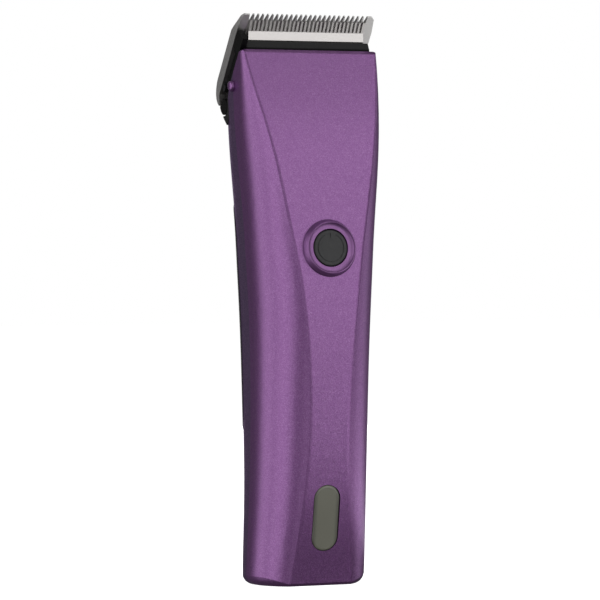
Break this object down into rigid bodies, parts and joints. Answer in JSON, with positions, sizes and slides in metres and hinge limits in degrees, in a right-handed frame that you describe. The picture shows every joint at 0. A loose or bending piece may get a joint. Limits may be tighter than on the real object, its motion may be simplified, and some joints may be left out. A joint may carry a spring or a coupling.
{
  "type": "cordless pet clipper",
  "caption": "Cordless pet clipper standing on its end, with a waisted two-shell body, a ringed power button and a hinged steel comb and cutter blade set.",
  "frame": {"origin": "on the flat end face that the clipper stands on, in line with the length of the body", "axes": "+Z along the body towards the blade, front face with the button towards -Y, +X to the right seen from the front"},
  "size_m": [0.0494, 0.0375, 0.1786],
  "materials": {
    "purple_paint": "metallic speckled lacquer",
    "rear_paint": "satin dark violet",
    "ring_plastic": "smooth satin",
    "grip_rubber": "soft-touch matte",
    "button_plastic": "satin",
    "window_lens": "smoked translucent",
    "black_plastic": "moulded",
    "natural_plastic": "moulded",
    "steel": "ground",
    "spring_steel": "satin",
    "brass": "turned",
    "board_green": "solder mask",
    "cell_wrap": null,
    "led": "clear",
    "wire_red": "insulation",
    "wire_black": "insulation"
  },
  "bodies": {
    "housing": {"battery_cap": "spring_steel", "battery_cell": "cell_wrap", "battery_lead_negative": "wire_black", "battery_lead_positive": "wire_red", "battery_tab_bottom": "spring_steel", "battery_tab_top": "spring_steel", "board_screw_left": "spring_steel", "board_screw_right": "spring_steel", "capacitor": "black_plastic", "charge_board": "board_green", "charge_board_screw_left": "spring_steel", "charge_board_screw_right": "spring_steel", "charge_leds": "led", "charge_socket": "black_plastic", "charge_window": "window_lens", "control_board": "board_green", "control_chip": "black_plastic", "head_frame": "black_plastic", "hinge_pin": "steel", "housing_screw_lower_left": "spring_steel", "housing_screw_lower_right": "spring_steel", "housing_screw_upper_left": "spring_steel", "housing_screw_upper_right": "spring_steel", "inlet_bezel": "black_plastic", "latch_clip_left": "spring_steel", "latch_clip_right": "spring_steel", "light_guide": "natural_plastic", "lower_housing": "rear_paint", "motor_bearing": "brass", "motor_bracket": "steel", "motor_can": "steel", "motor_damper": "grip_rubber", "motor_endcap": "black_plastic", "motor_lead_negative": "wire_black", "motor_lead_positive": "wire_red", "motor_screw_left": "spring_steel", "motor_screw_right": "spring_steel", "motor_terminal_left": "brass", "motor_terminal_right": "brass", "rear_grip": "grip_rubber", "socket_pin": "brass", "switch_ring": "ring_plastic", "tact_switch": "black_plastic", "upper_housing": "purple_paint"},
    "power_button": {"power_button": "button_plastic"},
    "switch_plunger": {"switch_plunger": "natural_plastic"},
    "rotor": {"motor_shaft": "steel", "motor_armature": "spring_steel", "crank_hub": "brass", "crank_pin": "steel"},
    "blade_set": {"blade_carrier": "black_plastic", "comb_screw_left": "spring_steel", "comb_screw_right": "spring_steel", "cutter_spring": "spring_steel"},
    "comb": {"comb_blade": "steel"},
    "adjust_lever": {"adjust_lever": "black_plastic"},
    "cutter": {"cutter_blade": "steel", "drive_fork": "black_plastic"}
  },
  "joints": [
    {"name": "power_button_press", "type": "slide", "parent": "housing", "child": "power_button", "axis": [0, 0.9969, -0.0785], "range_m": [0, 0.0006], "stiffness_N_per_m": 1500},
    {"name": "switch_plunger_travel", "type": "slide", "parent": "housing", "child": "switch_plunger", "axis": [0, 0.9969, -0.0785], "range_m": [0, 0.0006]},
    {"name": "motor_spin", "type": "hinge", "parent": "housing", "child": "rotor", "pos_m": [0, 0.0002, 0.12], "axis": [0, 0, 1], "continuous": true},
    {"name": "blade_release", "type": "hinge", "parent": "housing", "child": "blade_set", "pos_m": [0, 0.00985, 0.15012], "axis": [-1, 0, 0], "range_deg": [0, 36]},
    {"name": "adjust_lever_swing", "type": "hinge", "parent": "blade_set", "child": "adjust_lever", "pos_m": [-0.007, 0.00944, 0.15623], "axis": [0, -0.7934, -0.6088], "range_deg": [-8.5, 8.5]},
    {"name": "comb_shift", "type": "slide", "parent": "blade_set", "child": "comb", "axis": [0, -0.6088, 0.7934], "range_m": [-0.00089, 0.00089]},
    {"name": "cutter_stroke", "type": "slide", "parent": "blade_set", "child": "cutter", "axis": [1, 0, 0], "range_m": [-0.001, 0.001]}
  ],
  "couplings": [
    {"joint": "switch_plunger_travel", "follows": "power_button_press", "ratio": 1},
    {"joint": "adjust_lever_swing", "follows": "comb_shift", "rad_per_m": 166.67}
  ]
}
